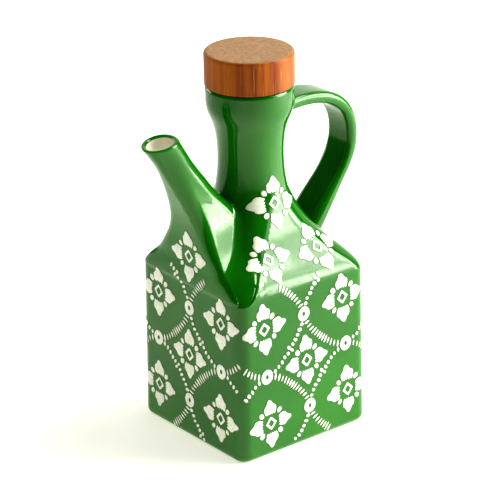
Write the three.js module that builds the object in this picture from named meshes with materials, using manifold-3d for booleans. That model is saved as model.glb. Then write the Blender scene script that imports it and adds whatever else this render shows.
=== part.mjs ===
// Glazed earthenware oil cruet with a wooden lid, in millimetres, +Z up. The origin is the middle of the
// flat base. The spout points to -X and the handle to +X. The bottle, its neck, the spout and the strap
// handle are one hollow slip-cast piece, and the lid is a turned disc whose plug sits in the mouth.
import * as THREE from "three";
import { ParametricGeometry } from "three/addons/geometries/ParametricGeometry.js";
import { mergeVertices } from "three/addons/utils/BufferGeometryUtils.js";
import Module from "manifold-3d";

const wasm = await Module();
wasm.setup();

// Square bottle: half widths of the tapering walls, and the soft edges.
const BASE_HALF = 45.6;
const WALL_TOP_HALF = 44.4;
const WALL_TOP_Z = 92;
const CORNER_SHARE = 0.16; // corner radius of the walls, as a share of the half width
const BASE_EDGE_R = 3.5;
const ROUND_Z = 139; // from here up the section is a circle

// Round neck: waist, flared head and rim.
const NECK_R = 18.2;
const NECK_Z = 158;
const HEAD_R = 24.1;
const HEAD_Z = 190;
const RIM_Z = 198;
const RIM_EDGE_R = 1;
const WALL = 4.5; // clay thickness of the bottle and the neck
const FLOOR = 5.5;

// Spout, as sections from the root in the wall to the mouth. Each row is its front point (x, z), its back
// point (x, z), the half width across, and how round it is, from 0 for a square corner to 1 for an oval.
const SPOUT = [
  [-43.9, 89, -40, 93, 39.2, 0.33],
  [-44.35, 97, -31, 98, 36.8, 0.35],
  [-44.6, 104, -27, 103, 31, 0.37],
  [-44.95, 112, -22, 109, 25.6, 0.42],
  [-45.5, 121, -16, 117, 20.4, 0.52],
  [-47.8, 132, -14, 128, 15.6, 0.76],
  [-52.0, 143, -23.5, 139, 12.4, 1],
  [-57.3, 154.5, -32.6, 151, 10.3, 1],
  [-63.6, 165.8, -42.2, 165.2, 9.4, 1],
  [-71.2, 176.4, -51.9, 180.4, 9.2, 1],
];
const SPOUT_ROOT_WALL = 4.2;
const SPOUT_LIP_WALL = 1.9;
const SPOUT_LIP_ROUND = 0.6;

// Strap handle: a top arc from the head and a lower sweep to the shoulder. Points are (x, z).
const HANDLE_TOP = [[20, 182.4], [50, 185.7], [66, 176], [66, 155.5]];
const HANDLE_LOW = [[66, 155.5], [66, 139], [52, 128.5], [33, 101.5]];
const STRAP_HALF_THICK = 3.5;
const STRAP_HALF_WIDE = 10;
const STRAP_CORNER = 3.3;
const STRAP_FOOT_GROW = 2; // extra half size where the strap's foot spreads on the shoulder

// Lid.
const LID_R = 24.4;
const LID_Z = 216.6;
const LID_EDGE_R = 1.6;
const LID_LOWER_EDGE_R = 0.5;
const PLUG_R = 18.6;
const PLUG_DEPTH = 9;

const ARC_STEPS = 12; // points round each corner of the bottle's section
const BEZIER_ROWS = 13;

const mix = (a, b, share) => a + (b - a) * share;
const smooth = (share) => {
  const s = Math.min(1, Math.max(0, share));
  return s * s * (3 - 2 * s);
};
const bezier = (points) => new THREE.CubicBezierCurve(...points.map(([x, z]) => new THREE.Vector2(x, z)));

// Outline of a box of half sizes a and b with corner radius r, as 4 * steps points. Each corner's points
// sit at the middles of its equal steps, so none meet when the box becomes a circle.
function roundedBox(a, b, r, steps) {
  const points = [];
  for (let corner = 0; corner < 4; corner += 1) {
    const sideA = corner === 0 || corner === 3 ? 1 : -1;
    const sideB = corner < 2 ? 1 : -1;
    for (let step = 0; step < steps; step += 1) {
      const turn = ((corner + (step + 0.5) / steps) * Math.PI) / 2;
      points.push([sideA * (a - r) + r * Math.cos(turn), sideB * (b - r) + r * Math.sin(turn)]);
    }
  }
  return points;
}

// A closed solid through rings of equal length, each end closed by a fan to its middle.
function loft(rings) {
  const around = rings[0].length;
  const middle = (ring) => {
    const sum = ring.reduce((total, point) => total.add(point), new THREE.Vector3());
    return Array(around).fill(sum.divideScalar(around));
  };
  const rows = [middle(rings[0]), ...rings, middle(rings.at(-1))];
  const surface = (u, v, target) => {
    target.copy(rows[Math.round(v * (rows.length - 1))][Math.round(u * around) % around]);
  };
  return solidOf(new ParametricGeometry(surface, around, rows.length - 1));
}

// A geometry as a manifold solid: shared points merged, and the flat triangles at the poles dropped.
function solidOf(geometry) {
  geometry.deleteAttribute("normal");
  geometry.deleteAttribute("uv");
  const merged = mergeVertices(geometry, 1e-4);
  const index = merged.index.array;
  const kept = [];
  for (let i = 0; i < index.length; i += 3) {
    const [p, q, r] = index.slice(i, i + 3);
    if (p !== q && q !== r && r !== p) kept.push(p, q, r);
  }
  return new wasm.Manifold(
    new wasm.Mesh({
      numProp: 3,
      vertProperties: merged.attributes.position.array,
      triVerts: new Uint32Array(kept),
    }),
  );
}

function geometryOf(solid) {
  const mesh = solid.getMesh();
  const geometry = new THREE.BufferGeometry();
  geometry.setAttribute("position", new THREE.BufferAttribute(mesh.vertProperties, mesh.numProp));
  geometry.setIndex(new THREE.BufferAttribute(mesh.triVerts, 1));
  geometry.computeVertexNormals();
  return geometry;
}

// Half width of the bottle's side profile from the wall's top to the flared head, as (half, z) points.
function sideProfile() {
  const shoulder = bezier([[WALL_TOP_HALF, WALL_TOP_Z], [WALL_TOP_HALF, WALL_TOP_Z + 13], [NECK_R, NECK_Z - 45], [NECK_R, NECK_Z]]);
  const head = bezier([[NECK_R, NECK_Z], [NECK_R, NECK_Z + 22], [HEAD_R, HEAD_Z - 11], [HEAD_R, HEAD_Z]]);
  return [...shoulder.getPoints(BEZIER_ROWS), ...head.getPoints(BEZIER_ROWS - 4).slice(1)];
}

// Corner radius of the section at a height: small on the walls, the whole half width on the neck.
function cornerRadius(half, z) {
  const share = Math.min(1, Math.max(0, (z - WALL_TOP_Z) / (ROUND_Z - WALL_TOP_Z)));
  return half * mix(CORNER_SHARE, 1, share ** 1.1);
}

const levelRing = (half, radius, z, steps) => roundedBox(half, half, radius, steps).map(([x, y]) => new THREE.Vector3(x, y, z));

function bottleOutside() {
  const rings = [];
  for (const turn of [0, 30, 60, 90]) {
    const angle = THREE.MathUtils.degToRad(turn);
    const half = BASE_HALF - BASE_EDGE_R * (1 - Math.sin(angle));
    rings.push(levelRing(half, half * CORNER_SHARE, BASE_EDGE_R * (1 - Math.cos(angle)), ARC_STEPS));
  }
  for (const point of sideProfile()) {
    rings.push(levelRing(point.x, cornerRadius(point.x, point.y), point.y, ARC_STEPS));
  }
  for (const turn of [0, 45, 90]) {
    const angle = THREE.MathUtils.degToRad(turn);
    const half = HEAD_R - RIM_EDGE_R * (1 - Math.cos(angle));
    rings.push(levelRing(half, half, RIM_Z - RIM_EDGE_R * (1 - Math.sin(angle)), ARC_STEPS));
  }
  return loft(rings);
}

function bottleInside() {
  const steps = ARC_STEPS - 4;
  const half = BASE_HALF - WALL;
  const rings = [levelRing(half, half * CORNER_SHARE, FLOOR, steps)];
  for (const point of sideProfile()) {
    const inner = point.x - WALL;
    rings.push(levelRing(inner, cornerRadius(inner, point.y), point.y, steps));
  }
  rings.push(levelRing(HEAD_R - WALL, HEAD_R - WALL, RIM_Z + WALL, steps));
  return loft(rings);
}

// The spout's section at a share of its length, drawn in by a wall thickness and moved out by a rise.
function spoutRing(share, inset, rise, steps) {
  const at = (column) => new THREE.SplineCurve(SPOUT.map((row) => new THREE.Vector2(row[column], 0))).getPoint(share).x;
  const front = new THREE.Vector2(at(0), at(1));
  const back = new THREE.Vector2(at(2), at(3));
  const centre = front.clone().add(back).multiplyScalar(0.5);
  const inward = back.clone().sub(front).normalize();
  centre.x -= inward.y * rise;
  centre.y += inward.x * rise;
  const deep = front.distanceTo(back) / 2 - inset;
  const wide = at(4) - inset;
  return roundedBox(1, 1, at(5), steps).map(
    ([u, v]) => new THREE.Vector3(centre.x - inward.x * deep * u, wide * v, centre.y - inward.y * deep * u),
  );
}

function spoutOutside() {
  const rows = 27;
  const rings = [spoutRing(1, SPOUT_LIP_ROUND, SPOUT_LIP_ROUND, 8)];
  for (let row = rows; row >= 0; row -= 1) rings.push(spoutRing(row / rows, 0, 0, 8));
  return loft(rings);
}

function spoutInside() {
  const rows = 20;
  const rings = [spoutRing(1, SPOUT_LIP_WALL, 3, 6)];
  for (let row = rows; row >= 0; row -= 1) {
    const share = mix(1 / (SPOUT.length - 1), 1, row / rows);
    rings.push(spoutRing(share, mix(SPOUT_ROOT_WALL, SPOUT_LIP_WALL, share), 0, 6));
  }
  return loft(rings);
}

function handleSolid() {
  const rows = 18;
  const rings = [];
  for (const [curve, first] of [[bezier(HANDLE_TOP), 0], [bezier(HANDLE_LOW), 1]]) {
    for (let row = first; row <= rows; row += 1) {
      const share = row / rows;
      const centre = curve.getPoint(share);
      const tangent = curve.getTangent(share);
      const grow = first === 0 ? 0 : STRAP_FOOT_GROW * smooth((share - 0.45) / 0.5);
      const section = roundedBox(STRAP_HALF_THICK + grow, STRAP_HALF_WIDE + grow, STRAP_CORNER + grow, 5);
      rings.push(section.map(([u, v]) => new THREE.Vector3(centre.x - tangent.y * u, v, centre.y + tangent.x * u)));
    }
  }
  return loft(rings.reverse());
}

function cruet() {
  const clay = bottleOutside().add(spoutOutside()).add(handleSolid());
  const hollow = bottleInside().add(spoutInside());
  const glaze = new THREE.MeshStandardMaterial({ color: 0x2f7d1f, roughness: 0.12, metalness: 0 });
  const mesh = new THREE.Mesh(geometryOf(clay.subtract(hollow)), glaze);
  mesh.name = "cruet";
  return mesh;
}

function lid() {
  const profile = new THREE.Path();
  profile.moveTo(0, RIM_Z - PLUG_DEPTH);
  profile.lineTo(PLUG_R, RIM_Z - PLUG_DEPTH);
  profile.lineTo(PLUG_R, RIM_Z);
  profile.lineTo(LID_R - LID_LOWER_EDGE_R, RIM_Z);
  profile.absarc(LID_R - LID_LOWER_EDGE_R, RIM_Z + LID_LOWER_EDGE_R, LID_LOWER_EDGE_R, -Math.PI / 2, 0);
  profile.absarc(LID_R - LID_EDGE_R, LID_Z - LID_EDGE_R, LID_EDGE_R, 0, Math.PI / 2);
  profile.lineTo(0, LID_Z);
  const turned = new THREE.LatheGeometry(profile.getPoints(4), 56);
  turned.rotateX(Math.PI / 2);
  const wood = new THREE.MeshStandardMaterial({ color: 0xa5632f, roughness: 0.45, metalness: 0 });
  const mesh = new THREE.Mesh(geometryOf(solidOf(turned)), wood);
  mesh.name = "lid";
  return mesh;
}

const group = new THREE.Group();
group.add(cruet(), lid());
export default group;
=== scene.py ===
import math

import bmesh
import bpy
import numpy as np
from mathutils import Matrix, Quaternion, Vector
from mathutils.geometry import delaunay_2d_cdt


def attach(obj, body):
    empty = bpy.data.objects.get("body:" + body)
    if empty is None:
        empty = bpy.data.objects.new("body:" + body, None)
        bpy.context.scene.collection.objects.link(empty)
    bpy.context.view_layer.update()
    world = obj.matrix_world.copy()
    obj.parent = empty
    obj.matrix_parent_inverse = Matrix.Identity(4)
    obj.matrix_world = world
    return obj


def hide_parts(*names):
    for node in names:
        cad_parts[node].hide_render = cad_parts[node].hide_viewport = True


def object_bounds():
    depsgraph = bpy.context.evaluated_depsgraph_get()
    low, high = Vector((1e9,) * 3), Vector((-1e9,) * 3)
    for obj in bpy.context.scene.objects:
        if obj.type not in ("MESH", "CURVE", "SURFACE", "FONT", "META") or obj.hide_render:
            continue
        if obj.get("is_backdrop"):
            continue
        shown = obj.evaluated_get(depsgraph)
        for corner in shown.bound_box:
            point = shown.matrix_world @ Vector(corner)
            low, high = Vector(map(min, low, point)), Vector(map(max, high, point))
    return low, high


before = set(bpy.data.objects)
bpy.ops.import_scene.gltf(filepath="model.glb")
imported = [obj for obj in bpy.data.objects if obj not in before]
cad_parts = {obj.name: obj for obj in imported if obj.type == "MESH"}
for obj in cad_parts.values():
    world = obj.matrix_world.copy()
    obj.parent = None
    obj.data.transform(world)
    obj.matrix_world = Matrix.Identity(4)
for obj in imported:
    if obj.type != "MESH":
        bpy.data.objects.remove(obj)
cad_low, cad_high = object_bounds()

# The view: a long lens a little over a metre away, looking down on the corner between the spout's wall
# and the wall to its right.
VIEW_FROM = Vector((-0.776605, -0.974156, 0.619918))
VIEW_ALONG = Vector((0.57473, 0.72236, -0.38454)).normalized()
VIEW_RIGHT = Vector((0.77842, -0.62755, -0.01544))
FOCAL_PIXELS = 2451.0
PICTURE_PIXELS = 500

view_right = (VIEW_RIGHT - VIEW_ALONG * VIEW_RIGHT.dot(VIEW_ALONG)).normalized()
view_up = view_right.cross(VIEW_ALONG)
camera = bpy.data.objects.new("camera", bpy.data.cameras.new("camera"))
camera.data.sensor_width = 36
camera.data.lens = FOCAL_PIXELS / PICTURE_PIXELS * camera.data.sensor_width
camera.data.clip_start = 0.05
camera.data.clip_end = 30
turned = Matrix((view_right, view_up, -VIEW_ALONG)).transposed()
camera.matrix_world = Matrix.Translation(VIEW_FROM) @ turned.to_4x4()
bpy.context.scene.collection.objects.link(camera)
bpy.context.scene.camera = camera

# The bottle: one hollow slip-cast piece of fired clay. Tapering square walls turn through a four-sided
# shoulder into a round neck with a flared head. The spout grows out of the left wall, and the strap
# handle is luted on opposite. Its shape is a field of distances in millimetres, minus inside the clay.
MM = 0.001
FOOT_HALF = 45.22
WALL_TOP_HALF = 44.4
WALL_TOP_Z = 92.0
WALL_CORNER_SHARE = 0.16
FOOT_EDGE = 4.0
NECK_R = 18.2
NECK_Z = 158.0
HEAD_R = 24.1
HEAD_Z = 190.0
RIM_Z = 198.0
RIM_EDGE = 2.2
ROUND_Z = 139.0
WALL = 4.5
FLOOR_THICK = 5.5


def bezier(points, share):
    """A cubic curve's place, first and second derivative at each share of it."""
    p = np.array(points, float)
    s = np.asarray(share, float)[..., None]
    place = (1 - s) ** 3 * p[0] + 3 * (1 - s) ** 2 * s * p[1] + 3 * (1 - s) * s**2 * p[2] + s**3 * p[3]
    first = 3 * ((1 - s) ** 2 * (p[1] - p[0]) + 2 * (1 - s) * s * (p[2] - p[1]) + s**2 * (p[3] - p[2]))
    second = 6 * ((1 - s) * (p[2] - 2 * p[1] + p[0]) + s * (p[3] - 2 * p[2] + p[1]))
    return place, first, second


SHOULDER = (
    (WALL_TOP_HALF, WALL_TOP_Z),
    (WALL_TOP_HALF, WALL_TOP_Z + 13),
    (NECK_R, NECK_Z - 45),
    (NECK_R, NECK_Z),
)
HEAD = ((NECK_R, NECK_Z), (NECK_R, NECK_Z + 22), (HEAD_R, HEAD_Z - 11), (HEAD_R, HEAD_Z))
fine_share = np.linspace(0, 1, 1500)
shoulder_line = bezier(SHOULDER, fine_share)[0]
head_line = bezier(HEAD, fine_share)[0]
side_line = np.concatenate([[(FOOT_HALF, 0)], shoulder_line, head_line[1:]])


def half_width(z):
    return np.interp(z, side_line[:, 1], side_line[:, 0])


def corner_share(z):
    """The corners' radius as a share of the half width, up to a full circle at the neck."""
    risen = np.clip((z - WALL_TOP_Z) / (ROUND_Z - WALL_TOP_Z), 0, 1)
    return WALL_CORNER_SHARE + (1 - WALL_CORNER_SHARE) * risen**1.1


def rounded_box(u, v, half_u, half_v, radius):
    """How far points are from a rectangle with round corners."""
    over_u = np.abs(u) - (half_u - radius)
    over_v = np.abs(v) - (half_v - radius)
    outside = np.hypot(np.maximum(over_u, 0), np.maximum(over_v, 0))
    within = np.minimum(np.maximum(over_u, over_v), 0)
    return outside + within - radius


def joined(a, b, fillet):
    """Two solids as one, with a round fillet between them."""
    rounded = np.hypot(np.maximum(fillet - a, 0), np.maximum(fillet - b, 0))
    return np.maximum(fillet, np.minimum(a, b)) - rounded


def cut_to(a, b, edge):
    """What two solids share, with a round edge."""
    rounded = np.hypot(np.maximum(edge + a, 0), np.maximum(edge + b, 0))
    return np.minimum(-edge, np.maximum(a, b)) + rounded


def square_bottle(p):
    """The bottle and its neck without top or bottom."""
    x, y, z = p.T

    def section(z):
        half = half_width(z)
        return rounded_box(x, y, half, half, half * corner_share(z))

    rise = (section(z + 0.05) - section(z - 0.05)) / 0.1
    return section(z) / np.sqrt(1 + rise**2)


# The spout's level sections: height, front, back, half width across, and how round each is. Its flanks
# draw in from the front ridges towards the neck by the wedge's share.
SPOUT = (
    (89, -43.9, -42, 40.2, 0.33),
    (97, -44.35, -32.5, 37.3, 0.34),
    (104, -44.6, -26.5, 30.8, 0.32),
    (112, -44.95, -19.5, 25.3, 0.33),
    (121, -45.5, -14.6, 19.9, 0.38),
    (132, -47.8, -17.0, 15.6, 0.5),
    (143, -52.0, -26.6, 12.8, 0.66),
    (154.5, -57.3, -35.0, 10.5, 0.86),
    (165.8, -63.6, -42.6, 9.4, 1),
    (176.4, -71.3, -48.9, 9.5, 1),
    (188, -79.9, -56.2, 9.9, 1),
)
SPOUT_WEDGE = ((88, 0), (97, -0.08), (104, -0.06), (112, 0.1), (121, 0.16))
SPOUT_WEDGE += ((132, 0.22), (143, 0.17), (153, 0), (200, 0))
SPOUT_FILLETS = ((88, 0.5), (97, 4), (104, 6), (112, 4), (121, 3), (129, 3), (137, 3), (200, 3))
MOUTH_FRONT = np.array((-71.0, 176.4))
MOUTH_BACK = np.array((-51.9, 180.4))
LIP_WALL = 2.2
LIP_EDGE = 1.1


def smooth_line(points):
    """A natural cubic curve through (position, value) points, as a fine table."""
    at, value = np.array(points, float).T
    gap = np.diff(at)
    system = np.eye(len(at))
    bend = np.zeros(len(at))
    for i in range(1, len(at) - 1):
        system[i, i - 1 : i + 2] = gap[i - 1], 2 * (gap[i - 1] + gap[i]), gap[i]
        bend[i] = 6 * ((value[i + 1] - value[i]) / gap[i] - (value[i] - value[i - 1]) / gap[i - 1])
    curve = np.linalg.solve(system, bend)
    fine = np.arange(at[0], at[-1] + 0.05, 0.05)
    i = np.clip(np.searchsorted(at, fine, side="right") - 1, 0, len(gap) - 1)
    a = (at[i + 1] - fine) / gap[i]
    b = 1 - a
    bent = ((a**3 - a) * curve[i] + (b**3 - b) * curve[i + 1]) * gap[i] ** 2 / 6
    return fine, a * value[i] + b * value[i + 1] + bent


spout_lines = [smooth_line([(row[0], row[column]) for row in SPOUT]) for column in range(1, 5)]
fillet_line = smooth_line(SPOUT_FILLETS)
wedge_line = smooth_line(SPOUT_WEDGE)


def near_only(region, field, p, far=40.0):
    """A field worked out only where it can matter, and far away elsewhere."""
    result = np.full(len(p), far)
    if region.any():
        result[region] = field(p[region])
    return result


def spout_tube(p, wall=None):
    """The spout without its root or mouth, or the bore that a wall leaves in it."""

    def section(x, y, z):
        front, back, across, roundness = (np.interp(z, *line) for line in spout_lines)
        if wall is not None:
            thick = np.interp(z, *wall)
            front = front + thick * 1.19
            back = back - thick * 1.19
            across = across - thick
        share = np.clip((x - front) / (back - front), 0, 1)
        across = across * (1 - share * np.interp(z, *wedge_line))
        deep = (back - front) / 2
        return rounded_box((x - front - deep) / deep, y / across, 1, 1, np.clip(roundness, 0.05, 1))

    def field(p):
        x, y, z = p.T
        e = 0.05
        here = section(x, y, z)
        slope = (section(x + e, y, z) - here) ** 2
        slope += (section(x, y + e, z) - here) ** 2
        slope += (section(x, y, z + e) - here) ** 2
        return here / np.maximum(np.sqrt(slope) / e, 0.01)

    return near_only((p[:, 0] < 0) & (p[:, 2] > 84), field, p)


def above_mouth(p):
    along = (MOUTH_BACK - MOUTH_FRONT) / np.linalg.norm(MOUTH_BACK - MOUTH_FRONT)
    return (p[:, 2] - MOUTH_FRONT[1]) * along[0] - (p[:, 0] - MOUTH_FRONT[0]) * along[1]


# The strap's line in the plane of the spout and handle, as two curves, and its section.
STRAP_TOP = ((20, 182.4), (50, 185.7), (66, 176), (66, 155.5))
STRAP_LOW = ((66, 155.5), (66, 139), (52, 128.5), (33, 101.5))
STRAP_HALF_THICK = 3.45
STRAP_HALF_WIDE = 10.0
STRAP_CORNER = 3.2
STRAP_FOOT_GROW = 2.0
STRAP_FILLET = 3.0


def eased(share):
    s = np.clip(share, 0, 1)
    return s * s * (3 - 2 * s)


def strap_field(p):
    flat = p[:, (0, 2)]
    best = np.full(len(p), 1e9)
    result = np.full(len(p), 50.0)
    for curve, is_low in ((STRAP_TOP, False), (STRAP_LOW, True)):
        tries = np.linspace(0, 1, 25)
        places = bezier(curve, tries)[0]
        share = tries[np.argmin(((flat[:, None] - places[None]) ** 2).sum(-1), axis=1)]
        for _ in range(3):
            place, first, second = bezier(curve, share)
            off = place - flat
            step = (off * first).sum(-1) / np.maximum((first**2).sum(-1) + (off * second).sum(-1), 1e-6)
            share = np.clip(share - step, 0, 1)
        place, first, _ = bezier(curve, share)
        off = flat - place
        away = np.hypot(*off.T)
        tangent = first / np.linalg.norm(first, axis=1, keepdims=True)
        across = off[:, 0] * -tangent[:, 1] + off[:, 1] * tangent[:, 0]
        past = np.abs((off * tangent).sum(-1))
        grow = STRAP_FOOT_GROW * eased((share - 0.45) / 0.5) if is_low else 0
        sizes = (size + grow for size in (STRAP_HALF_THICK, STRAP_HALF_WIDE, STRAP_CORNER))
        section = rounded_box(across, p[:, 1], *sizes)
        section = np.where(past > 1e-3, np.maximum(section, past), section)
        closer = away < best
        result[closer] = section[closer]
        best[closer] = away[closer]
    return result


def strap_handle(p):
    x, y, z = p.T
    return near_only((x > 10) & (z > 88) & (z < 196) & (np.abs(y) < 20), strap_field, p)


def outer_skin(p):
    x, y, z = p.T
    bottle = cut_to(cut_to(square_bottle(p), -z, FOOT_EDGE), z - RIM_Z, RIM_EDGE)
    spout = cut_to(cut_to(spout_tube(p), above_mouth(p), LIP_EDGE), 93 - z, 2)
    clay = joined(bottle, spout, np.interp(z, *fillet_line))
    return joined(clay, strap_handle(p), STRAP_FILLET)


BORE_WALL = ((95, 6.5), (122, 6), (150, 3.4), (171, LIP_WALL), (190, LIP_WALL))


def inner_skin(p, thick_lip=False):
    x, y, z = p.T
    hollow = cut_to(square_bottle(p) + WALL, FLOOR_THICK - z, 5)
    wall = np.array(BORE_WALL, float).T
    if thick_lip:
        wall[1] = np.maximum(wall[1], 4.2)
    bore = cut_to(spout_tube(p, wall), 101 - z, 2)
    return joined(hollow, bore, 3)


def clay_field(p, thick_lip=False):
    return cut_to(outer_skin(p), -inner_skin(p, thick_lip), LIP_EDGE * 0.9)


def slope_of(field, p, e=0.02):
    slope = np.empty_like(p)
    for axis in range(3):
        step = np.zeros(3)
        step[axis] = e
        slope[:, axis] = (field(p + step) - field(p - step)) / (2 * e)
    return slope


def settled(field, p, rounds):
    """Points moved onto the field's surface."""
    for _ in range(rounds):
        slope = slope_of(field, p)
        move = slope * (field(p) / np.maximum((slope**2).sum(-1), 0.25))[:, None]
        far = np.linalg.norm(move, axis=1, keepdims=True)
        p = p - move * np.minimum(1, 1.5 / np.maximum(far, 1e-9))
    return p


def skin_net(field, low, high, step):
    """Four-sided faces over a field's surface, one point in each cell of a grid that it passes through."""
    axes = [np.arange(a, b + step, step) for a, b in zip(low, high)]
    grid = np.stack(np.meshgrid(*axes, indexing="ij"), -1)
    value = field(grid.reshape(-1, 3)).reshape(grid.shape[:3])
    cells = tuple(n - 1 for n in value.shape)
    total = np.zeros((np.prod(cells), 3))
    count = np.zeros(np.prod(cells))
    faces = []
    for axis in range(3):
        first = np.take(value, range(value.shape[axis] - 1), axis)
        second = np.take(value, range(1, value.shape[axis]), axis)
        edge = np.argwhere((first < 0) != (second < 0))
        a, b = first[tuple(edge.T)], second[tuple(edge.T)]
        place = grid[tuple(edge.T)].copy()
        place[:, axis] += step * a / (a - b)
        u, v = (n for n in range(3) if n != axis)
        around = []
        for du, dv in ((-1, -1), (0, -1), (0, 0), (-1, 0)):
            cell = edge.copy()
            cell[:, u] += du
            cell[:, v] += dv
            around.append(np.ravel_multi_index(cell.T, cells))
            np.add.at(total, around[-1], place)
            np.add.at(count, around[-1], 1)
        face = np.stack(around, 1)
        turned_round = (a < 0) == (axis == 1)
        face[turned_round] = face[turned_round][:, ::-1]
        faces.append(face)
    used = np.nonzero(count)[0]
    number = np.zeros(len(count), int)
    number[used] = np.arange(len(used))
    return total[used] / count[used][:, None], number[np.concatenate(faces)]


def grown_mesh(name, field, points, faces, limits, skip):
    """A mesh of the field's surface, split finer where it bends, with the field's own normals."""
    mesh = bpy.data.meshes.new(name)
    mesh.from_pydata(points.tolist(), [], faces.tolist())
    for limit in limits:
        work = bmesh.new()
        work.from_mesh(mesh)
        bmesh.ops.triangulate(work, faces=work.faces[:])
        work.verts.ensure_lookup_table()
        place = np.array([v.co for v in work.verts])
        normal = slope_of(field, place)
        normal /= np.maximum(np.linalg.norm(normal, axis=1, keepdims=True), 1e-9)
        ends = np.array([(e.verts[0].index, e.verts[1].index) for e in work.edges])
        turn = np.degrees(np.arccos(np.clip((normal[ends[:, 0]] * normal[ends[:, 1]]).sum(-1), -1, 1)))
        length = np.linalg.norm(place[ends[:, 0]] - place[ends[:, 1]], axis=1)
        middle = (place[ends[:, 0]] + place[ends[:, 1]]) / 2
        chosen = (turn > limit) & (length > 0.45) & ~skip(middle)
        work.edges.ensure_lookup_table()
        bmesh.ops.subdivide_edges(work, edges=[work.edges[i] for i in np.nonzero(chosen)[0]], cuts=1)
        bmesh.ops.triangulate(work, faces=work.faces[:])
        work.to_mesh(mesh)
        work.free()
        settled_count = len(place)
        place = np.array([v.co for v in mesh.vertices])
        place[settled_count:] = settled(field, place[settled_count:], 2)
        mesh.vertices.foreach_set("co", place.ravel())
    return mesh


def thick_lipped_field(p):
    """The clay with a lip thick enough for a coarse net to catch."""
    return clay_field(p, thick_lip=True)


NET_LOW = (-75, -49, -4)
NET_HIGH = (74, 49, 202)
NET_STEP = 2.0
net_points, net_faces = skin_net(thick_lipped_field, NET_LOW, NET_HIGH, NET_STEP)
net_points = settled(clay_field, net_points, 6)


def hidden_inside(p):
    """The hollow, apart from what can be seen through the spout's mouth."""
    deep = outer_skin(p) < -3.2
    return deep & (p[:, 2] < 150)


bottle_mesh = grown_mesh("cruet_body", clay_field, net_points, net_faces, (7, 8, 9), hidden_inside)
bottle_points = np.array([v.co for v in bottle_mesh.vertices])
bottle_normals = slope_of(clay_field, bottle_points)
bottle_normals /= np.linalg.norm(bottle_normals, axis=1, keepdims=True)
depth_mark = bottle_mesh.attributes.new("depth_in_clay", "FLOAT", "POINT")
depth_mark.data.foreach_set("value", -outer_skin(bottle_points).astype(np.float32))
bottle_mesh.vertices.foreach_set("co", (bottle_points * MM).ravel())
bottle_mesh.shade_smooth()
bottle_mesh.normals_split_custom_set_from_vertices(bottle_normals.tolist())
bottle_mesh.update()
print("bottle", len(bottle_mesh.polygons), "faces")


def mottle_group():
    """Soft uneven patches or, drawn out along one axis, grain."""
    group = bpy.data.node_groups.new("surface_mottle", "ShaderNodeTree")
    numbers = {"Scale": 60, "Detail": 3, "Roughness": 0.5}
    numbers.update({"From Low": 0.3, "From High": 0.7, "To Low": 0, "To High": 1})
    for name, value in numbers.items():
        socket = group.interface.new_socket(name, in_out="INPUT", socket_type="NodeSocketFloat")
        socket.default_value = value
    socket = group.interface.new_socket("Stretch", in_out="INPUT", socket_type="NodeSocketVector")
    socket.default_value = (1, 1, 1)
    for name in ("Mask", "Height"):
        group.interface.new_socket(name, in_out="OUTPUT", socket_type="NodeSocketFloat")
    given = group.nodes.new("NodeGroupInput").outputs
    place = group.nodes.new("ShaderNodeTexCoord").outputs["Object"]
    drawn_out = group.nodes.new("ShaderNodeMapping")
    noise = group.nodes.new("ShaderNodeTexNoise")
    spread = group.nodes.new("ShaderNodeMapRange")
    spread.interpolation_type = "SMOOTHSTEP"
    out = group.nodes.new("NodeGroupOutput")
    wires = [(place, drawn_out, "Vector"), (given["Stretch"], drawn_out, "Scale")]
    wires += [(drawn_out.outputs["Vector"], noise, "Vector"), (noise.outputs["Fac"], spread, "Value")]
    wires += [(given[name], noise, name) for name in ("Scale", "Detail", "Roughness")]
    wires += [(given["From Low"], spread, "From Min"), (given["From High"], spread, "From Max")]
    wires += [(given["To Low"], spread, "To Min"), (given["To High"], spread, "To Max")]
    wires += [(spread.outputs["Result"], out, "Mask"), (noise.outputs["Fac"], out, "Height")]
    for source, made, key in wires:
        group.links.new(source, made.inputs[key])
    return group


surface_mottle = mottle_group()


class Finish:
    """A material's nodes, with short ways to add and link them."""

    def __init__(self, name):
        self.material = bpy.data.materials.new(name)
        self.material.use_nodes = True
        self.tree = self.material.node_tree
        self.shader = self.tree.nodes["Principled BSDF"]

    def node(self, kind, settings=None, **inputs):
        made = self.tree.nodes.new(kind)
        for key, value in (settings or {}).items():
            setattr(made, key, value)
        for key, value in inputs.items():
            self.feed(made, key.replace("_", " "), value)
        return made

    def feed(self, made, key, value):
        socket = made.inputs[int(key)] if key.isdigit() else made.inputs[key]
        if isinstance(value, bpy.types.NodeSocket):
            self.tree.links.new(value, socket)
        else:
            socket.default_value = value

    def mottle(self, scale, spread=(0.3, 0.7), to=(0, 1), detail=3, roughness=0.5, stretch=(1, 1, 1)):
        made = self.node("ShaderNodeGroup", {"node_tree": surface_mottle})
        numbers = {"Scale": scale, "Detail": detail, "Roughness": roughness, "Stretch": stretch}
        numbers.update({"From Low": spread[0], "From High": spread[1], "To Low": to[0], "To High": to[1]})
        for name, number in numbers.items():
            made.inputs[name].default_value = number
        return made.outputs["Mask"]

    def bumped(self, strength, distance, scale, **grain):
        height = self.mottle(scale, **grain).node.outputs["Height"]
        bump = self.node("ShaderNodeBump", Strength=strength, Distance=distance, Height=height)
        self.feed(self.shader, "Normal", bump.outputs["Normal"])

    def ranged(self, value, low, high, to_low=0.0, to_high=1.0):
        made = self.node("ShaderNodeMapRange", {"interpolation_type": "SMOOTHSTEP"}, Value=value)
        for key, number in (("From Min", low), ("From Max", high), ("To Min", to_low), ("To Max", to_high)):
            made.inputs[key].default_value = number
        return made.outputs["Result"]

    def mixed(self, share, first, second):
        made = self.node("ShaderNodeMix", {"data_type": "RGBA"})
        for number, value in ((0, share), (6, first), (7, second)):
            self.feed(made, str(number), value)
        return made.outputs[2]


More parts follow.
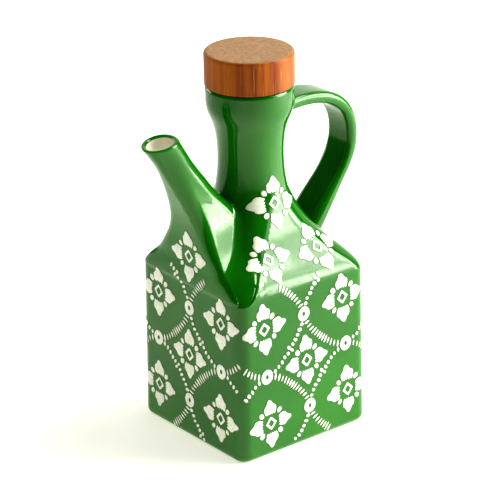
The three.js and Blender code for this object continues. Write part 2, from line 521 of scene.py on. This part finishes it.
glaze = Finish("green_glaze")
depth = glaze.node("ShaderNodeAttribute", {"attribute_name": "depth_in_clay"}).outputs["Fac"]
pooled = glaze.mottle(14, (0.35, 0.7), detail=2)
green = glaze.mixed(pooled, (0.004, 0.15, 0.001, 1), (0.012, 0.195, 0.002, 1))
cream = glaze.mixed(glaze.mottle(60, (0.45, 0.75)), (0.94, 0.92, 0.80, 1), (0.84, 0.72, 0.50, 1))
inside = glaze.ranged(depth, 1.0, 1.5)
glaze.feed(glaze.shader, "Base Color", glaze.mixed(inside, green, cream))
glaze.feed(glaze.shader, "Roughness", glaze.mottle(90, to=(0.07, 0.13)))
glaze.shader.inputs["IOR"].default_value = 1.6
glaze.shader.inputs["Specular Tint"].default_value = (0.98, 1, 0.84, 1)
glaze.shader.inputs["Coat Weight"].default_value = 0.15
glaze.shader.inputs["Coat Roughness"].default_value = 0.03
glaze.bumped(0.06, 0.002, 110, detail=2)
bottle_mesh.materials.append(glaze.material)

bottle = bpy.data.objects.new("cruet_body", bottle_mesh)
bpy.context.scene.collection.objects.link(bottle)
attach(bottle, "root")
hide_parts("cruet")

# The painted pattern: thick white slip put on the leather-hard clay through a stencil before the clear
# green glaze, so each petal, dot and bar stands a little proud with the glaze pooled dark along its edge.
SLIP_HIGH = 0.3
SLIP_UNDER = -0.25
POOL_WIDE = 0.42
FLOWER_ACROSS = 27.6
FLOWER_RISE = 28.4
RING_SPACING = 28.0
ARC_IN = 24.3

PETAL_SIDE = ((3.3, 5.6), (3.8, 6.6), (4.15, 7.6), (4.35, 8.6), (4.35, 9.6), (4.05, 10.5), (3.5, 11.2))
PETAL_SIDE += ((2.75, 11.7), (2.3, 12.3), (1.9, 13.1), (1.4, 14.0), (0.85, 14.6))
PETAL_FOOT = ((-2.7, 6.3), (-2.1, 5.5), (-1.3, 6.4), (-0.5, 5.6))
PETAL_FOOT += ((0.3, 6.5), (1.1, 5.5), (1.9, 6.4), (2.7, 5.5))


def ellipse(half_u, half_v, count, wobble=0.0, seed=0):
    rng = np.random.default_rng(seed)
    turns = np.arange(count) * 2 * np.pi / count
    bumps = 1 + wobble * rng.uniform(-1, 1, count)
    return np.stack([half_u * np.cos(turns) * bumps, half_v * np.sin(turns) * bumps], 1)


def petal_outline(seed):
    """One petal pointing along +V, a little different for each seed, as the stencil's cuts are."""
    rng = np.random.default_rng(seed)
    right = [(u, v) for u, v in PETAL_SIDE]
    left = [(-u, v) for u, v in reversed(PETAL_SIDE)]
    outline = np.array([*PETAL_FOOT, *right, (0, 14.9), *left], float)
    outline += rng.uniform(-0.13, 0.13, outline.shape)
    lean = rng.uniform(-0.8, 0.8)
    outline[:, 0] += lean * np.clip((outline[:, 1] - 9) / 6, 0, 1) ** 2
    return outline


def counterclockwise(outline):
    u, v = outline.T
    area = (u * np.roll(v, -1) - v * np.roll(u, -1)).sum()
    return outline if area > 0 else outline[::-1]


def moved_out(outline, distance):
    """The outline moved along its own corners' outward directions."""
    before = outline - np.roll(outline, 1, 0)
    after = np.roll(outline, -1, 0) - outline
    before /= np.linalg.norm(before, axis=1, keepdims=True)
    after /= np.linalg.norm(after, axis=1, keepdims=True)
    out = np.stack([before[:, 1] + after[:, 1], -before[:, 0] - after[:, 0]], 1)
    out /= np.maximum(np.linalg.norm(out, axis=1, keepdims=True), 0.5)
    return outline + out * distance


def inside_outline(points, outline):
    """Which points lie in a closed outline."""
    found = np.zeros(len(points), bool)
    for (u1, v1), (u2, v2) in zip(outline, np.roll(outline, -1, 0)):
        crosses = (v1 > points[:, 1]) != (v2 > points[:, 1])
        with np.errstate(divide="ignore", invalid="ignore"):
            at = u1 + (points[:, 1] - v1) * (u2 - u1) / (v2 - v1)
        found ^= crosses & (points[:, 0] < at)
    return found


def slip_pad(name, outline, hole=None, grain=None, pool=POOL_WIDE):
    """A closed pad of slip lying in the UV plane: a pooled green skirt, a rounded edge and a white top."""
    steps = ((pool, SLIP_UNDER), (0.1, 0.1), (0, 0.2), (-0.24, SLIP_HIGH))
    work = bmesh.new()
    edges_in = []
    for sign, line in ((1, counterclockwise(np.array(outline))), (-1, hole)):
        if line is None:
            continue
        line = counterclockwise(np.array(line))
        rows = []
        for out, high in steps:
            ring = moved_out(line, out * sign)
            rows.append([work.verts.new((u, v, high)) for u, v in ring])
        for level, (low, high) in enumerate(zip(rows, rows[1:])):
            for n in range(len(low)):
                m = (n + 1) % len(low)
                quad = (low[n], low[m], high[m], high[n])
                face = work.faces.new(quad if sign > 0 else quad[::-1])
                face.material_index = 1 if level < 2 else 0
        edges_in.append(rows)
    top = [vert for rows in edges_in for vert in rows[-1]]
    points = [vert.co.xy.copy() for vert in top]
    bounds = []
    start = 0
    for rows in edges_in:
        count = len(rows[-1])
        bounds += [(start + n, start + (n + 1) % count) for n in range(count)]
        start += count
    rim = [np.array([vert.co.xy for vert in rows[-1]]) for rows in edges_in]
    if grain:
        low, high = rim[0].min(0), rim[0].max(0)
        u, v = np.meshgrid(np.arange(low[0], high[0], grain), np.arange(low[1], high[1], grain))
        u[1::2] += grain / 2
        extra = np.stack([u.ravel(), v.ravel()], 1)
        keep = inside_outline(extra, rim[0])
        near = np.min(np.linalg.norm(extra[:, None] - np.concatenate(rim)[None], axis=2), axis=1)
        for u, v in extra[keep & (near > grain * 0.55)]:
            top.append(work.verts.new((u, v, SLIP_HIGH + 0.04)))
            points.append(Vector((u, v)))
    found = delaunay_2d_cdt(points, bounds, [], 0, 1e-5)
    corners, triangles, sources = found[0], found[2], found[3]
    middles = np.array([sum((corners[n] for n in face), Vector((0, 0))) / 3 for face in triangles])
    keep = inside_outline(middles, rim[0])
    if len(rim) > 1:
        keep &= ~inside_outline(middles, rim[1])
    for face in np.array(triangles)[keep]:
        work.faces.new([top[sources[n][0]] for n in face])
    under = [rows[0] for rows in edges_in]
    if len(under) == 1:
        work.faces.new(under[0][::-1]).material_index = 1
    else:
        loops = []
        for ring in under:
            loops += [work.edges.get(ends) for ends in zip(ring, ring[1:] + ring[:1])]
        bmesh.ops.bridge_loops(work, edges=loops)
    bmesh.ops.recalc_face_normals(work, faces=work.faces[:])
    for vert in work.verts:
        vert.co *= MM
    mesh = bpy.data.meshes.new(name)
    work.to_mesh(mesh)
    work.free()
    mesh.shade_smooth()
    return bpy.data.objects.new(name, mesh)


def draping_tree(white, pooled):
    """Sets one pad on each point, turned to its wall, and presses it onto the bottle's skin."""
    tree = bpy.data.node_groups.new("slip_laid_on_skin", "GeometryNodeTree")
    tree.is_modifier = True
    kinds = {"Places": "Geometry", "Pad": "Object", "Bottle": "Object"}
    kinds.update({"Reach": "Float", "Corner Radius": "Float"})
    for name, kind in kinds.items():
        tree.interface.new_socket(name, in_out="INPUT", socket_type=f"NodeSocket{kind}")
    tree.interface.new_socket("Pattern", in_out="OUTPUT", socket_type="NodeSocketGeometry")

    def add(kind, settings=(), links=(), values=()):
        made = tree.nodes.new(kind)
        for key, value in settings:
            setattr(made, key, value)
        for key, value in links:
            tree.links.new(value, made.inputs[key])
        for key, value in values:
            made.inputs[key].default_value = value
        return made

    def attribute(name, kind):
        made = add("GeometryNodeInputNamedAttribute", [("data_type", kind)], (), [("Name", name)])
        return made.outputs[0]

    given = tree.nodes.new("NodeGroupInput").outputs
    outward = attribute("outward", "FLOAT_VECTOR")
    turned = add(
        "FunctionNodeAxesToRotation",
        [("primary_axis", "Z"), ("secondary_axis", "Y")],
        [("Primary Axis", outward), ("Secondary Axis", attribute("upward", "FLOAT_VECTOR"))],
    )
    pad = add("GeometryNodeObjectInfo", (), [("Object", given["Pad"])])
    pad_place = tree.nodes.new("GeometryNodeInputPosition").outputs[0]
    height = add("ShaderNodeSeparateXYZ", (), [("Vector", pad_place)])
    marked = add(
        "GeometryNodeStoreNamedAttribute",
        [("data_type", "FLOAT"), ("domain", "POINT")],
        [("Geometry", pad.outputs["Geometry"]), ("Value", height.outputs["Z"])],
        [("Name", "height")],
    )
    laid = add(
        "GeometryNodeInstanceOnPoints",
        (),
        [
            ("Points", given["Places"]),
            ("Instance", marked.outputs["Geometry"]),
            ("Rotation", turned.outputs["Rotation"]),
            ("Scale", attribute("size", "FLOAT_VECTOR")),
        ],
    )
    real = add("GeometryNodeRealizeInstances", (), [("Geometry", laid.outputs["Instances"])])
    bottle_info = add("GeometryNodeObjectInfo", (), [("Object", given["Bottle"])])

    def vector(operation, first, second=None, scale=None):
        made = add("ShaderNodeVectorMath", [("operation", operation)], [(0, first)])
        for key, value in ((1, second), ("Scale", scale)):
            if isinstance(value, bpy.types.NodeSocket):
                tree.links.new(value, made.inputs[key])
            elif value is not None:
                made.inputs[key].default_value = value
        return made.outputs["Value" if operation == "DOT_PRODUCT" else "Vector"]

    def number(operation, first, second=None):
        made = add("ShaderNodeMath", [("operation", operation)], [(0, first)])
        if isinstance(second, bpy.types.NodeSocket):
            tree.links.new(second, made.inputs[1])
        elif second is not None:
            made.inputs[1].default_value = second
        return made.outputs[0]

    # Past the flat of a wall the pads follow the rounded corner.
    place = tree.nodes.new("GeometryNodeInputPosition").outputs[0]
    level = vector("CROSS_PRODUCT", outward, (0, 0, -1))
    sideways = vector("DOT_PRODUCT", place, level)
    past = number("SUBTRACT", number("ABSOLUTE", sideways), attribute("flat_to", "FLOAT"))
    past = number("MAXIMUM", past, 0.0)
    radius = given["Corner Radius"]
    turn = number("DIVIDE", past, radius)
    side = vector("SCALE", level, scale=number("SIGN", sideways))
    along = number("SUBTRACT", number("MULTIPLY", number("SINE", turn), radius), past)
    sunk = number("MULTIPLY", number("SUBTRACT", number("COSINE", turn), 1.0), radius)
    bent = vector("ADD", place, vector("SCALE", side, scale=along))
    bent = vector("ADD", bent, vector("SCALE", outward, scale=sunk))
    facing = vector("SCALE", outward, scale=number("COSINE", turn))
    facing = vector("ADD", facing, vector("SCALE", side, scale=number("SINE", turn)))
    source = vector("ADD", bent, vector("SCALE", facing, scale=given["Reach"]))
    inward = vector("SCALE", facing, scale=-1.0)
    hit = add(
        "GeometryNodeRaycast",
        (),
        [
            ("Target Geometry", bottle_info.outputs["Geometry"]),
            ("Source Position", source),
            ("Ray Direction", inward),
        ],
        [("Ray Length", 0.2)],
    )
    high = attribute("height", "FLOAT")
    lifted = vector("SCALE", hit.outputs["Hit Normal"], scale=high)
    final = vector("ADD", hit.outputs["Hit Position"], lifted)
    pressed = add(
        "GeometryNodeSetPosition",
        (),
        [
            ("Geometry", real.outputs["Geometry"]),
            ("Selection", hit.outputs["Is Hit"]),
            ("Position", final),
        ],
    )
    skirt = attribute("skirt", "BOOLEAN")
    whitened = add(
        "GeometryNodeSetMaterial",
        (),
        [("Geometry", pressed.outputs["Geometry"])],
        [("Material", white)],
    )
    finished = add(
        "GeometryNodeSetMaterial",
        (),
        [("Geometry", whitened.outputs["Geometry"]), ("Selection", skirt)],
        [("Material", pooled)],
    )
    out = tree.nodes.new("NodeGroupOutput")
    tree.links.new(finished.outputs["Geometry"], out.inputs["Pattern"])
    return tree


def set_input(modifier, name, value):
    for item in modifier.node_group.interface.items_tree:
        if item.name == name and item.in_out == "INPUT":
            modifier[item.identifier] = value


# Each wall: the way it faces, its rightward way, how the stencil sits on it (lean in degrees, shift to
# the right, middle height), and which arcs are bars. The spout's wall comes first, then the others round.
WALLS = (
    ((-1, 0, 0), (0, -1, 0), -1.2, -0.2, 51.2, -1),
    ((0, -1, 0), (1, 0, 0), 3.6, 1.0, 49.8, 1),
    ((1, 0, 0), (0, 1, 0), 0.8, -0.3, 50.4, -1),
    ((0, 1, 0), (-1, 0, 0), -1.0, 0.5, 50.6, 1),
)
PATTERN_HALF = 42.4
PATTERN_LOW_Z = 3.2
PATTERN_TOP_Z = 99.0
BARS_IN_ARC = 13
DOTS_IN_ARC = 11
pattern_places = {}


def put(kind, centre, outward, upward, size=(1, 1, 1)):
    """Notes where one pad goes. Only those on a wall bend round its corners."""
    flat_to = (WALL_TOP_HALF * (1 - WALL_CORNER_SHARE) if abs(outward[2]) < 1e-6 else 1000) * MM
    place = (tuple(centre), tuple(outward), tuple(upward), tuple(size), flat_to)
    pattern_places.setdefault(kind, []).append(place)


pattern_rng = np.random.default_rng(41)


def put_flower(centre, outward, right, upward):
    """Four petals, four drops between them, and a lozenge in the middle."""
    centre, right, upward = (np.array(v, float) for v in (centre, right, upward))
    for turn in range(4):
        angle = math.radians(90 * turn)
        out = upward * math.cos(angle) + right * math.sin(angle)
        kind = f"petal_{pattern_rng.integers(4)}"
        size = pattern_rng.uniform(0.95, 1.04)
        put(kind, centre, outward, out, (size * pattern_rng.uniform(0.95, 1.05), size, 1))
        angle += math.radians(45) + pattern_rng.uniform(-0.05, 0.05)
        out = upward * math.cos(angle) + right * math.sin(angle)
        grown = pattern_rng.uniform(0.9, 1.12)
        put("drop", centre + out * pattern_rng.uniform(8.4, 8.9), outward, out, (grown, grown, 1))
    put("lozenge", centre, outward, upward)


for outward, across, lean, shift, middle, way in WALLS:
    outward, across, rise = (np.array(v, float) for v in (outward, across, (0, 0, 1)))
    lean = math.radians(lean)
    right = across * math.cos(lean) + rise * math.sin(lean)
    upward = rise * math.cos(lean) - across * math.sin(lean)

    def on_wall(u, v):
        return outward * FOOT_HALF + rise * middle + across * shift + right * u + upward * v

    def on_face(u, v):
        """Whether a dot or bar is on the wall, which ends lower towards its corners."""
        place = on_wall(u, v)
        sideways = abs(place @ across)
        low = PATTERN_LOW_Z + 0.25 * max(0, sideways - 38)
        top = (PATTERN_TOP_Z if outward[0] == 0 else PATTERN_TOP_Z + 2) - 0.45 * max(0, sideways - 15)
        return sideways < PATTERN_HALF and low < place[2] < top

    for u, v in ((0, 0), (-1, -1), (1, -1), (-1, 1), (1, 1)):
        put_flower(on_wall(u * FLOWER_ACROSS, v * FLOWER_RISE), outward, right, upward)
    for u, v in ((0, 1), (0, -1), (-1, 0), (1, 0)):
        put("ring", on_wall(u * RING_SPACING, v * RING_SPACING), outward, upward)
    for u, v in ((-1, -1), (1, -1), (-1, 1), (1, 1)):
        for quarter in range(4):
            is_bars = (quarter % 2 == 0) == (way > 0)
            count = BARS_IN_ARC if is_bars else DOTS_IN_ARC
            shares = np.linspace(0.135, 0.865, count)
            if is_bars:
                shares = 0.5 + (shares - 0.5) * (0.88 + 0.12 * np.abs(shares - 0.5) / 0.365)
            for share in shares:
                angle = math.radians(90 * quarter + 90 * share)
                drawn_in = math.sin(2 * math.radians(90 * share)) ** 1.3
                reach = RING_SPACING - (RING_SPACING - ARC_IN) * drawn_in
                centre_u = u * RING_SPACING + reach * math.cos(angle)
                centre_v = v * RING_SPACING + reach * math.sin(angle)
                radial = right * math.cos(angle) + upward * math.sin(angle)
                swell = max(0.0, 1 - abs(share - 0.5) / 0.16)
                if is_bars:
                    wide = pattern_rng.uniform(0.85, 1.12)
                    long = 1 + 0.25 * swell + pattern_rng.uniform(-0.16, 0.16)
                    if on_face(centre_u, centre_v):
                        put("bar", on_wall(centre_u, centre_v), outward, radial, (wide, long, 1))
                    continue
                offsets = (-1.35, 1.35) if swell > 0.7 else (pattern_rng.uniform(-0.4, 0.4),)
                for offset in offsets:
                    u2 = centre_u + offset * math.cos(angle)
                    v2 = centre_v + offset * math.sin(angle)
                    size = pattern_rng.uniform(0.85, 1.15, 2)
                    if on_face(u2, v2):
                        put("dot", on_wall(u2, v2), outward, radial, (size[0], size[1], 1))


def skin_direction(place):
    slope = slope_of(outer_skin, np.array([place], float))[0]
    return slope / np.linalg.norm(slope)


# The flowers on the shoulder over each side wall: their middles and how far they turn, in degrees. One
# more stands on the spout's front, above its wall's lattice.
SPOUT_FLOWER = (-45.5, -1.7, 110.2)
SHOULDER_FLOWERS = (((-16.0, 33.4, 109.8), 4), ((17.8, 34.2, 108.9), 12), ((-0.8, 20.9, 135.2), -4))
for side in (-1, 1):
    for (x, y, z), turn in SHOULDER_FLOWERS:
        place = np.array((x, side * y, z), float)
        outward = skin_direction(place)
        right = np.cross((0, 0, 1), outward)
        right /= np.linalg.norm(right)
        steep = np.cross(outward, right)
        angle = math.radians(turn if side < 0 else -turn)
        put_flower(
            place,
            outward,
            right * math.cos(angle) + steep * math.sin(angle),
            steep * math.cos(angle) - right * math.sin(angle),
        )
put_flower(SPOUT_FLOWER, (-1, 0, 0), (0, -1, 0), (0, 0, 1))

slip = Finish("white_slip")
chalk = slip.mixed(slip.mottle(260, (0.35, 0.7)), (0.90, 0.92, 0.80, 1), (0.82, 0.86, 0.66, 1))
slip.feed(slip.shader, "Base Color", chalk)
slip.feed(slip.shader, "Roughness", slip.mottle(500, to=(0.18, 0.32), detail=2))
slip.shader.inputs["IOR"].default_value = 1.5
slip.shader.inputs["Coat Weight"].default_value = 0.3
slip.shader.inputs["Coat Roughness"].default_value = 0.05
slip.bumped(0.12, 0.0004, 420)

pooled_glaze = Finish("pooled_glaze")
pooled_tone = pooled_glaze.mottle(300, (0.35, 0.7), detail=2)
pooled_green = pooled_glaze.mixed(pooled_tone, (0.004, 0.07, 0.002, 1), (0.012, 0.13, 0.005, 1))
pooled_glaze.feed(pooled_glaze.shader, "Base Color", pooled_green)
pooled_glaze.shader.inputs["Roughness"].default_value = 0.12
pooled_glaze.shader.inputs["IOR"].default_value = 1.5

pads = {f"petal_{n}": slip_pad(f"petal_{n}", petal_outline(n), grain=1.5) for n in range(4)}
pads["drop"] = slip_pad("drop", ellipse(1.45, 1.8, 12, 0.05, 5))
pads["dot"] = slip_pad("dot", ellipse(1.0, 1.4, 10, 0.06, 6))
pads["bar"] = slip_pad("bar", ellipse(0.7, 1.95, 10, 0.05, 7), pool=0.28)
pads["ring"] = slip_pad("ring", ellipse(4.05, 4.3, 28, 0.02, 8), ellipse(0.95, 1.3, 28), grain=1.6)
LOZENGE = ((3.9, 0), (3.0, 1.1), (1.1, 3.2), (0, 4.0), (-1.1, 3.2), (-3.0, 1.1), (-3.9, 0))
LOZENGE += ((-3.0, -1.1), (-1.1, -3.2), (0, -4.0), (1.1, -3.2), (3.0, -1.1))
pads["lozenge"] = slip_pad("lozenge", LOZENGE, np.array(LOZENGE) * (0.5, 0.56))

laying = draping_tree(slip.material, pooled_glaze.material)
laid_meshes = []
for kind, pad in pads.items():
    skirt_mark = pad.data.attributes.new("skirt", "BOOLEAN", "FACE")
    skirt_mark.data.foreach_set("value", [polygon.material_index == 1 for polygon in pad.data.polygons])
    places = pattern_places[kind]
    spots = bpy.data.meshes.new(f"{kind}_spots")
    spots.from_pydata([Vector(place[0]) * MM for place in places], [], [])
    for column, name in ((1, "outward"), (2, "upward"), (3, "size")):
        mark = spots.attributes.new(name, "FLOAT_VECTOR", "POINT")
        mark.data.foreach_set("vector", np.array([place[column] for place in places], np.float32).ravel())
    mark = spots.attributes.new("flat_to", "FLOAT", "POINT")
    mark.data.foreach_set("value", [place[4] for place in places])
    holder = bpy.data.objects.new(f"{kind}_spots", spots)
    bpy.context.scene.collection.objects.link(holder)
    modifier = holder.modifiers.new("laying", "NODES")
    modifier.node_group = laying
    set_input(modifier, "Pad", pad)
    set_input(modifier, "Bottle", bottle)
    set_input(modifier, "Reach", 0.02)
    set_input(modifier, "Corner Radius", WALL_TOP_HALF * WALL_CORNER_SHARE * MM)
    seen = holder.evaluated_get(bpy.context.evaluated_depsgraph_get())
    laid_meshes.append(bpy.data.meshes.new_from_object(seen))
    bpy.data.objects.remove(holder)
    bpy.data.objects.remove(pad)

pattern_mesh = bpy.data.meshes.new("slip_pattern")
pattern_mesh.materials.append(slip.material)
pattern_mesh.materials.append(pooled_glaze.material)
work = bmesh.new()
for mesh in laid_meshes:
    names = [material.name if material else "" for material in mesh.materials]
    first = len(work.faces)
    work.from_mesh(mesh)
    work.faces.ensure_lookup_table()
    for face in work.faces[first:]:
        face.material_index = 1 if names[face.material_index] == "pooled_glaze" else 0
    bpy.data.meshes.remove(mesh)
work.to_mesh(pattern_mesh)
work.free()
for name in ("outward", "upward", "size", "flat_to", "height", "skirt"):
    if name in pattern_mesh.attributes:
        pattern_mesh.attributes.remove(pattern_mesh.attributes[name])
pattern_mesh.shade_smooth()
pattern = bpy.data.objects.new("slip_pattern", pattern_mesh)
bpy.context.scene.collection.objects.link(pattern)
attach(pattern, "root")
print("pattern", len(pattern_mesh.polygons), "faces", {kind: len(v) for kind, v in pattern_places.items()})

# The lid: a disc turned from close-grained hardwood, oiled, with softened edges. Its plug sits in the
# bottle's mouth, and its underside rests on the rim.
LID_R = 24.4
LID_TOP_Z = 216.6
LID_EDGE = 1.6
LID_LOWER_EDGE = 0.5
PLUG_R = 18.6
PLUG_Z = 189.0
PLUG_EDGE = 0.6
LID_SEGMENTS = 144

lid_line = [(0, PLUG_Z), (PLUG_R * 0.5, PLUG_Z), (PLUG_R - PLUG_EDGE, PLUG_Z), (PLUG_R, PLUG_Z + PLUG_EDGE)]
lid_line += [(PLUG_R, RIM_Z), (LID_R - LID_LOWER_EDGE - 1, RIM_Z)]
for turn in np.radians((-90, -60, -30, 0)):
    lid_line.append(
        (LID_R - LID_LOWER_EDGE * (1 - math.cos(turn)), RIM_Z + LID_LOWER_EDGE * (1 + math.sin(turn)))
    )
lid_line += [(LID_R, RIM_Z + 0.6 + n) for n in np.linspace(0.5, LID_TOP_Z - RIM_Z - LID_EDGE - 1.2, 6)]
for turn in np.radians(np.linspace(0, 90, 8)):
    lid_line.append((LID_R - LID_EDGE * (1 - math.cos(turn)), LID_TOP_Z - LID_EDGE * (1 - math.sin(turn))))
lid_line += [(LID_R * n, LID_TOP_Z) for n in (0.88, 0.7, 0.45, 0.2)] + [(0, LID_TOP_Z)]

work = bmesh.new()
rings = []
for radius, z in lid_line:
    count = 1 if radius == 0 else LID_SEGMENTS
    turns = np.arange(count) * 2 * math.pi / count
    circle = np.stack([radius * np.cos(turns), radius * np.sin(turns), np.full(count, z)], 1) * MM
    rings.append([work.verts.new(place) for place in circle])
for low, high in zip(rings, rings[1:]):
    for n in range(LID_SEGMENTS):
        m = (n + 1) % LID_SEGMENTS
        if len(low) == 1:
            work.faces.new((low[0], high[m], high[n]))
        elif len(high) == 1:
            work.faces.new((low[n], low[m], high[0]))
        else:
            work.faces.new((low[n], low[m], high[m], high[n]))
bmesh.ops.recalc_face_normals(work, faces=work.faces[:])
lid_mesh = bpy.data.meshes.new("turned_lid")
work.to_mesh(lid_mesh)
work.free()
lid_mesh.shade_smooth()

wood = Finish("lid_wood")
fine_grain = {"detail": 4, "roughness": 0.65, "stretch": (1, 1, 0.035)}
bands = wood.mottle(210, detail=4, roughness=0.6, stretch=(1, 1, 0.05))
tone = wood.mottle(38, (0.3, 0.75), detail=2, stretch=(1, 1, 0.15))
brown = wood.mixed(bands, (0.23, 0.043, 0.001, 1), (0.48, 0.14, 0.008, 1))
brown = wood.mixed(wood.ranged(tone, 0, 1, 0, 0.6), brown, (0.52, 0.165, 0.012, 1))
brown = wood.mixed(wood.mottle(700, (0.56, 0.72), **fine_grain), brown, (0.62, 0.27, 0.06, 1))
# The top face is painted lighter and greyer than the sides by the way it faces: partly its end grain,
# partly a painted sheen that stands in for the pale backdrop's reflection.
facing = wood.node("ShaderNodeTexCoord").outputs["Normal"]
upright = wood.node("ShaderNodeSeparateXYZ", Vector=facing).outputs["Z"]
top_grain_and_sheen_share = wood.ranged(upright, 0.6, 0.98, 0, 0.85)
pores = wood.mottle(500, (0.35, 0.65), detail=4)
end_grain_and_painted_sheen = wood.mixed(pores, (0.36, 0.215, 0.10, 1), (0.46, 0.30, 0.15, 1))
wood.feed(wood.shader, "Base Color", wood.mixed(top_grain_and_sheen_share, brown, end_grain_and_painted_sheen))
wood.shader.inputs["IOR"].default_value = 1.38
wood.feed(wood.shader, "Roughness", wood.mottle(700, to=(0.36, 0.5), **fine_grain))
wood.bumped(0.25, 0.0003, 700, **fine_grain)
lid_mesh.materials.append(wood.material)
lid = bpy.data.objects.new("turned_lid", lid_mesh)
bpy.context.scene.collection.objects.link(lid)
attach(lid, "root")
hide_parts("lid")

# The studio: a pale floor that sweeps up behind the bottle and glows more on the right, a large soft panel
# on the right with a wider one behind it, a small one high up on the same side, and two weak ones on the
# left. The cloth fronts of the large panels are uneven, and so is what the glaze mirrors of them.
camera_side = Vector((-VIEW_ALONG.x, -VIEW_ALONG.y, 0)).normalized()
right_side = Vector((view_right.x, view_right.y, 0)).normalized()


def bearing(degrees):
    """A level direction, turned to the right from the camera's side."""
    turn = math.radians(degrees)
    return camera_side * math.cos(turn) + right_side * math.sin(turn)


def panel(name, degrees, rise, distance, width, tall, watts, roll=0):
    """A soft panel that faces the bottle from a bearing and a rise in degrees, rolled on its own axis."""
    light = bpy.data.lights.new(name, "AREA")
    light.shape = "RECTANGLE"
    light.size, light.size_y = width, tall
    light.energy = watts
    made = bpy.data.objects.new(name, light)
    climb = math.radians(rise)
    toward = bearing(degrees) * math.cos(climb) + Vector((0, 0, math.sin(climb)))
    made.location = Vector((0, 0, 0.1)) + toward * distance
    made.rotation_mode = "QUATERNION"
    made.rotation_quaternion = toward.to_track_quat("Z", "Y") @ Quaternion((0, 0, 1), math.radians(roll))
    bpy.context.scene.collection.objects.link(made)
    return made


def cloth_front(made, scale, faint, strong):
    """Makes a panel's light uneven across its face."""
    made.data.use_nodes = True
    tree = made.data.node_tree
    place = tree.nodes.new("ShaderNodeNewGeometry")
    patches = tree.nodes.new("ShaderNodeTexNoise")
    patches.inputs["Scale"].default_value = scale
    patches.inputs["Detail"].default_value = 1
    ranged = tree.nodes.new("ShaderNodeMapRange")
    ranged.interpolation_type = "SMOOTHSTEP"
    for key, value in (("From Min", 0.35), ("From Max", 0.65), ("To Min", faint), ("To Max", strong)):
        ranged.inputs[key].default_value = value
    tree.links.new(place.outputs["Parametric"], patches.inputs["Vector"])
    tree.links.new(patches.outputs["Fac"], ranged.inputs["Value"])
    tree.links.new(ranged.outputs["Result"], tree.nodes["Emission"].inputs["Strength"])


cloth_front(panel("key_panel", 92, 20, 1.15, 0.66, 1.04, 12.5, roll=-16), 3.2, 0.45, 1.8)
cloth_front(panel("key_spill", 87, 21, 1.22, 0.98, 1.22, 6.5, roll=-10), 2.6, 0.65, 1.4)
panel("overhead_panel", 112, 62, 1.2, 0.42, 0.42, 3.6)
panel("left_panel", -128, 12, 1.3, 0.6, 0.4, 2)
left_fill = panel("left_fill", -75, 42, 1.1, 0.5, 0.5, 3.2)
left_fill.visible_glossy = False

# A narrow beam into the spout's mouth.
MOUTH_MIDDLE = Vector((-0.0612, 0, 0.1784))
BEAM_BEARING = -25
BEAM_RISE = math.radians(52)
BEAM_DISTANCE = 0.8
beam = bpy.data.lights.new("mouth_beam", "SPOT")
beam.energy = 32
beam.spot_size = math.radians(1.6)
beam.spot_blend = 1
beam.shadow_soft_size = 0.01
mouth_beam = bpy.data.objects.new("mouth_beam", beam)
beam_toward = bearing(BEAM_BEARING) * math.cos(BEAM_RISE) + Vector((0, 0, math.sin(BEAM_RISE)))
mouth_beam.location = MOUTH_MIDDLE + beam_toward * BEAM_DISTANCE
mouth_beam.rotation_mode = "QUATERNION"
mouth_beam.rotation_quaternion = beam_toward.to_track_quat("Z", "Y")
mouth_beam.visible_glossy = False
bpy.context.scene.collection.objects.link(mouth_beam)

sweep = bmesh.new()
SWEEP_R = 0.5
SWEEP_STARTS = 1.1
FLOOR_NEAR_END = -2.2
FLOOR_HALF = 2.2
SWEEP_TOP_Z = 2.6
sweep_line = [(FLOOR_NEAR_END, 0)]
for turn in np.radians(range(0, 91, 10)):
    sweep_line.append((SWEEP_STARTS + SWEEP_R * math.sin(turn), SWEEP_R * (1 - math.cos(turn))))
sweep_line += [(SWEEP_STARTS + SWEEP_R, SWEEP_TOP_Z)]
edges = []
for away, z in sweep_line:
    middle = -camera_side * away + Vector((0, 0, z))
    edges.append([sweep.verts.new(middle + right_side * side) for side in (-FLOOR_HALF, FLOOR_HALF)])
for low, high in zip(edges, edges[1:]):
    sweep.faces.new((low[0], low[1], high[1], high[0]))
sweep_mesh = bpy.data.meshes.new("studio_floor")
sweep.to_mesh(sweep_mesh)
sweep.free()
sweep_mesh.shade_smooth()
paper = Finish("paper")
paper.shader.inputs["Base Color"].default_value = (0.88, 0.88, 0.87, 1)
paper.shader.inputs["Roughness"].default_value = 0.7
paper.shader.inputs["Emission Color"].default_value = (1, 0.98, 0.84, 1)
across_floor = paper.node("ShaderNodeVectorMath", {"operation": "DOT_PRODUCT"})
paper.feed(across_floor, "0", paper.node("ShaderNodeTexCoord").outputs["Object"])
across_floor.inputs[1].default_value = right_side
glow = paper.ranged(across_floor.outputs["Value"], -0.45, -0.12, 0.08, 0.36)
paper.feed(paper.shader, "Emission Strength", glow)
sweep_mesh.materials.append(paper.material)
studio_floor = bpy.data.objects.new("studio_floor", sweep_mesh)
bpy.context.scene.collection.objects.link(studio_floor)
studio_floor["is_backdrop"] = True

# Past the floor the room looks pale, but gives hardly any light.
world = bpy.data.worlds.new("studio")
bpy.context.scene.world = world
world.use_nodes = True
room = world.node_tree
background = room.nodes["Background"]
background.inputs["Color"].default_value = (1, 1, 0.95, 1)
rays = room.nodes.new("ShaderNodeLightPath")
strength = room.nodes.new("ShaderNodeMapRange")
strength.inputs["To Min"].default_value = 0.03
strength.inputs["To Max"].default_value = 0.95
room.links.new(rays.outputs["Is Camera Ray"], strength.inputs["Value"])
room.links.new(strength.outputs["Result"], background.inputs["Strength"])
bpy.context.scene.view_settings.view_transform = "Standard"
bpy.context.scene.view_settings.look = "High Contrast"

low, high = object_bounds()
{"cad": [list(cad_low), list(cad_high)], "visual": [list(low), list(high)]}
